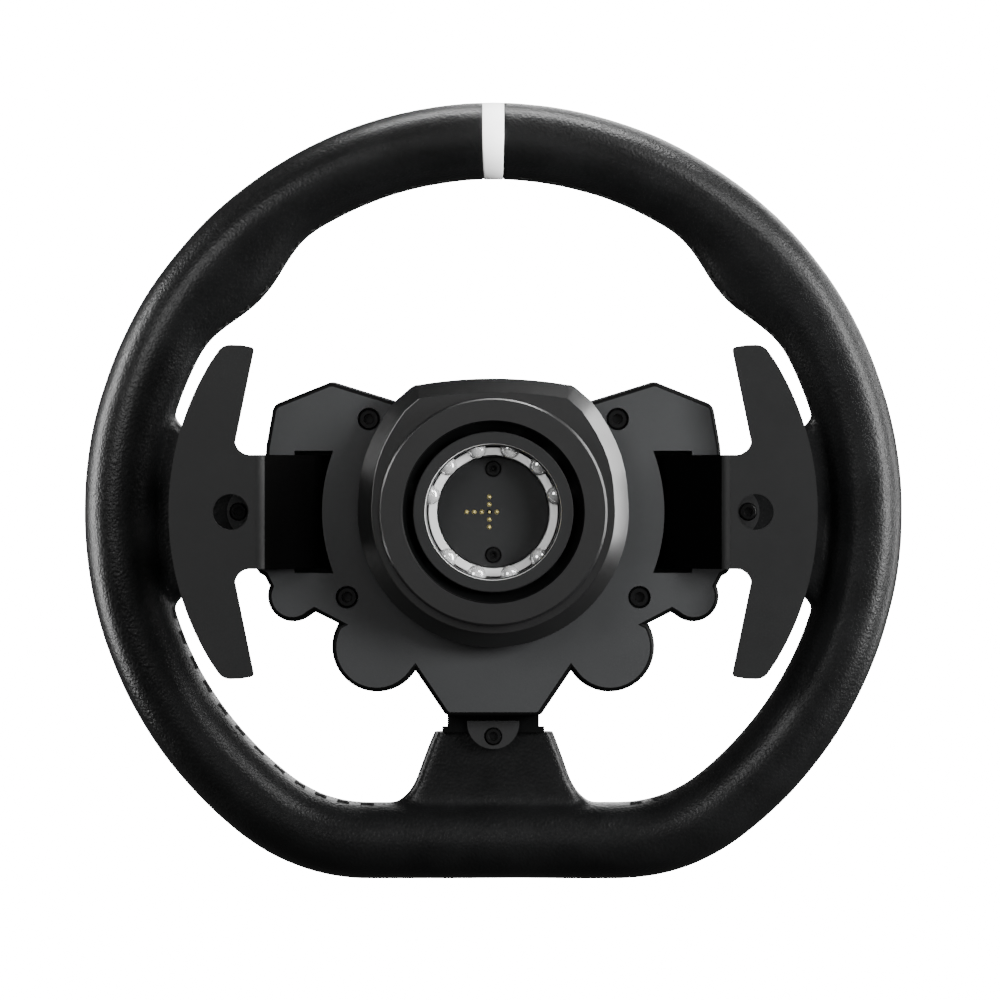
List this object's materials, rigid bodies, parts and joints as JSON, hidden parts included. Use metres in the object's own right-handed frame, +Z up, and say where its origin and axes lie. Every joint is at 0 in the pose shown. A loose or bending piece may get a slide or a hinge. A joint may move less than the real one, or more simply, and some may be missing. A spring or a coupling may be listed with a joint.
{
  "type": "racing wheel",
  "caption": "Flat-bottomed leather gaming steering wheel with rear shift paddles, push buttons, rotary knobs and a ball-lock quick release on its back",
  "frame": {"origin": "centre of the contact plate, the floor of the quick-release socket, on the wheel's turning axis", "axes": "+Z is up with the wheel straight, +X is to the right of somebody looking at the back of the wheel, -Y points out of the back towards the wheel base, +Y is towards the driver"},
  "size_m": [0.2796, 0.071, 0.2654],
  "materials": {
    "core_metal": "satin",
    "grip_leather": "fine grain, satin",
    "stripe_leather": "smooth, satin",
    "screw_steel": "black oxide",
    "shell_plastic": "fine texture",
    "frame_metal": "satin black",
    "board": "solder mask",
    "light_lens": "smoked",
    "badge_plastic": "satin",
    "adapter_metal": "black anodised",
    "collar_metal": "black anodised, satin",
    "cage_metal": "black anodised",
    "bright_steel": "polished",
    "plate_plastic": "moulded",
    "pin_gold": "gold plated",
    "paddle_metal": "fine powder coat",
    "arm_plastic": "moulded",
    "button_plastic": "satin",
    "knob_plastic": "satin"
  },
  "bodies": {
    "hub": {"rim_core": "core_metal", "leather_grip": "grip_leather", "centre_stripe": "stripe_leather", "spoke_screw_bottom": "screw_steel", "spoke_screw_left": "screw_steel", "spoke_screw_right": "screw_steel", "cover_screw_upper_left": "screw_steel", "cover_screw_upper_right": "screw_steel", "cover_screw_lower_left": "screw_steel", "cover_screw_lower_right": "screw_steel", "plate_screw_upper": "screw_steel", "plate_screw_lower": "screw_steel", "back_cover": "shell_plastic", "front_shell": "shell_plastic", "hub_frame": "frame_metal", "main_board": "board", "light_bar": "light_lens", "front_badge": "badge_plastic", "hub_adapter": "adapter_metal", "ball_cage": "cage_metal", "locating_ring": "bright_steel", "collar_spring": "bright_steel", "paddle_pin_left": "bright_steel", "paddle_pin_right": "bright_steel", "paddle_magnet_left": "bright_steel", "paddle_magnet_right": "bright_steel", "contact_plate": "plate_plastic", "contact_pins": "pin_gold", "paddle_switch_left": "arm_plastic", "paddle_switch_right": "arm_plastic"},
    "collar": {"release_collar": "collar_metal"},
    "ball_01": {"ball_01": "bright_steel"},
    "ball_02": {"ball_02": "bright_steel"},
    "ball_03": {"ball_03": "bright_steel"},
    "ball_04": {"ball_04": "bright_steel"},
    "ball_05": {"ball_05": "bright_steel"},
    "ball_06": {"ball_06": "bright_steel"},
    "ball_07": {"ball_07": "bright_steel"},
    "ball_08": {"ball_08": "bright_steel"},
    "ball_09": {"ball_09": "bright_steel"},
    "ball_10": {"ball_10": "bright_steel"},
    "paddle_left_swing": {"paddle_left": "paddle_metal", "paddle_arm_left": "arm_plastic"},
    "paddle_right_swing": {"paddle_right": "paddle_metal", "paddle_arm_right": "arm_plastic"},
    "button_left_1_cap": {"button_left_1": "button_plastic"},
    "button_left_2_cap": {"button_left_2": "button_plastic"},
    "button_left_3_cap": {"button_left_3": "button_plastic"},
    "button_left_4_cap": {"button_left_4": "button_plastic"},
    "button_left_5_cap": {"button_left_5": "button_plastic"},
    "button_right_1_cap": {"button_right_1": "button_plastic"},
    "button_right_2_cap": {"button_right_2": "button_plastic"},
    "button_right_3_cap": {"button_right_3": "button_plastic"},
    "button_right_4_cap": {"button_right_4": "button_plastic"},
    "button_right_5_cap": {"button_right_5": "button_plastic"},
    "knob_left_dial": {"knob_left": "knob_plastic"},
    "knob_right_dial": {"knob_right": "knob_plastic"}
  },
  "joints": [
    {"name": "collar_slide", "type": "slide", "parent": "hub", "child": "collar", "axis": [0, 1, 0], "range_m": [0, 0.005], "stiffness_N_per_m": 800, "springref_m": -0.005},
    {"name": "ball_01_slide", "type": "slide", "parent": "hub", "child": "ball_01", "axis": [0.9659, 0, 0.2588], "range_m": [0, 0.0037]},
    {"name": "ball_02_slide", "type": "slide", "parent": "hub", "child": "ball_02", "axis": [0.7071, 0, 0.7071], "range_m": [0, 0.0037]},
    {"name": "ball_03_slide", "type": "slide", "parent": "hub", "child": "ball_03", "axis": [0.2588, 0, 0.9659], "range_m": [0, 0.0037]},
    {"name": "ball_04_slide", "type": "slide", "parent": "hub", "child": "ball_04", "axis": [-0.2588, 0, 0.9659], "range_m": [0, 0.0037]},
    {"name": "ball_05_slide", "type": "slide", "parent": "hub", "child": "ball_05", "axis": [-0.7071, 0, 0.7071], "range_m": [0, 0.0037]},
    {"name": "ball_06_slide", "type": "slide", "parent": "hub", "child": "ball_06", "axis": [-0.9659, 0, 0.2588], "range_m": [0, 0.0037]},
    {"name": "ball_07_slide", "type": "slide", "parent": "hub", "child": "ball_07", "axis": [-0.7071, 0, -0.7071], "range_m": [0, 0.0037]},
    {"name": "ball_08_slide", "type": "slide", "parent": "hub", "child": "ball_08", "axis": [-0.2588, 0, -0.9659], "range_m": [0, 0.0037]},
    {"name": "ball_09_slide", "type": "slide", "parent": "hub", "child": "ball_09", "axis": [0.2588, 0, -0.9659], "range_m": [0, 0.0037]},
    {"name": "ball_10_slide", "type": "slide", "parent": "hub", "child": "ball_10", "axis": [0.7071, 0, -0.7071], "range_m": [0, 0.0037]},
    {"name": "paddle_left_pull", "type": "hinge", "parent": "hub", "child": "paddle_left_swing", "pos_m": [-0.046, 0.0185, 0], "axis": [0, 0, -1], "range_deg": [0, 4], "stiffness_Nm_per_rad": 2, "springref_deg": -2.86},
    {"name": "paddle_right_pull", "type": "hinge", "parent": "hub", "child": "paddle_right_swing", "pos_m": [0.046, 0.0185, 0], "axis": [0, 0, 1], "range_deg": [0, 4], "stiffness_Nm_per_rad": 2, "springref_deg": -2.86},
    {"name": "button_left_1_press", "type": "slide", "parent": "hub", "child": "button_left_1_cap", "axis": [0, -1, 0], "range_m": [0, 0.0015], "stiffness_N_per_m": 500, "springref_m": -0.0005},
    {"name": "button_left_2_press", "type": "slide", "parent": "hub", "child": "button_left_2_cap", "axis": [0, -1, 0], "range_m": [0, 0.0015], "stiffness_N_per_m": 500, "springref_m": -0.0005},
    {"name": "button_left_3_press", "type": "slide", "parent": "hub", "child": "button_left_3_cap", "axis": [0, -1, 0], "range_m": [0, 0.0015], "stiffness_N_per_m": 500, "springref_m": -0.0005},
    {"name": "button_left_4_press", "type": "slide", "parent": "hub", "child": "button_left_4_cap", "axis": [0, -1, 0], "range_m": [0, 0.0015], "stiffness_N_per_m": 500, "springref_m": -0.0005},
    {"name": "button_left_5_press", "type": "slide", "parent": "hub", "child": "button_left_5_cap", "axis": [0, -1, 0], "range_m": [0, 0.0015], "stiffness_N_per_m": 500, "springref_m": -0.0005},
    {"name": "button_right_1_press", "type": "slide", "parent": "hub", "child": "button_right_1_cap", "axis": [0, -1, 0], "range_m": [0, 0.0015], "stiffness_N_per_m": 500, "springref_m": -0.0005},
    {"name": "button_right_2_press", "type": "slide", "parent": "hub", "child": "button_right_2_cap", "axis": [0, -1, 0], "range_m": [0, 0.0015], "stiffness_N_per_m": 500, "springref_m": -0.0005},
    {"name": "button_right_3_press", "type": "slide", "parent": "hub", "child": "button_right_3_cap", "axis": [0, -1, 0], "range_m": [0, 0.0015], "stiffness_N_per_m": 500, "springref_m": -0.0005},
    {"name": "button_right_4_press", "type": "slide", "parent": "hub", "child": "button_right_4_cap", "axis": [0, -1, 0], "range_m": [0, 0.0015], "stiffness_N_per_m": 500, "springref_m": -0.0005},
    {"name": "button_right_5_press", "type": "slide", "parent": "hub", "child": "button_right_5_cap", "axis": [0, -1, 0], "range_m": [0, 0.0015], "stiffness_N_per_m": 500, "springref_m": -0.0005},
    {"name": "knob_left_turn", "type": "hinge", "parent": "hub", "child": "knob_left_dial", "pos_m": [-0.0395, 0.05, -0.0455], "axis": [0, 1, 0], "continuous": true},
    {"name": "knob_right_turn", "type": "hinge", "parent": "hub", "child": "knob_right_dial", "pos_m": [0.0395, 0.05, -0.0455], "axis": [0, 1, 0], "continuous": true}
  ],
  "couplings": [
    {"joint": "ball_01_slide", "follows": "collar_slide", "ratio": 0.74},
    {"joint": "ball_02_slide", "follows": "collar_slide", "ratio": 0.74},
    {"joint": "ball_03_slide", "follows": "collar_slide", "ratio": 0.74},
    {"joint": "ball_04_slide", "follows": "collar_slide", "ratio": 0.74},
    {"joint": "ball_05_slide", "follows": "collar_slide", "ratio": 0.74},
    {"joint": "ball_06_slide", "follows": "collar_slide", "ratio": 0.74},
    {"joint": "ball_07_slide", "follows": "collar_slide", "ratio": 0.74},
    {"joint": "ball_08_slide", "follows": "collar_slide", "ratio": 0.74},
    {"joint": "ball_09_slide", "follows": "collar_slide", "ratio": 0.74},
    {"joint": "ball_10_slide", "follows": "collar_slide", "ratio": 0.74}
  ]
}
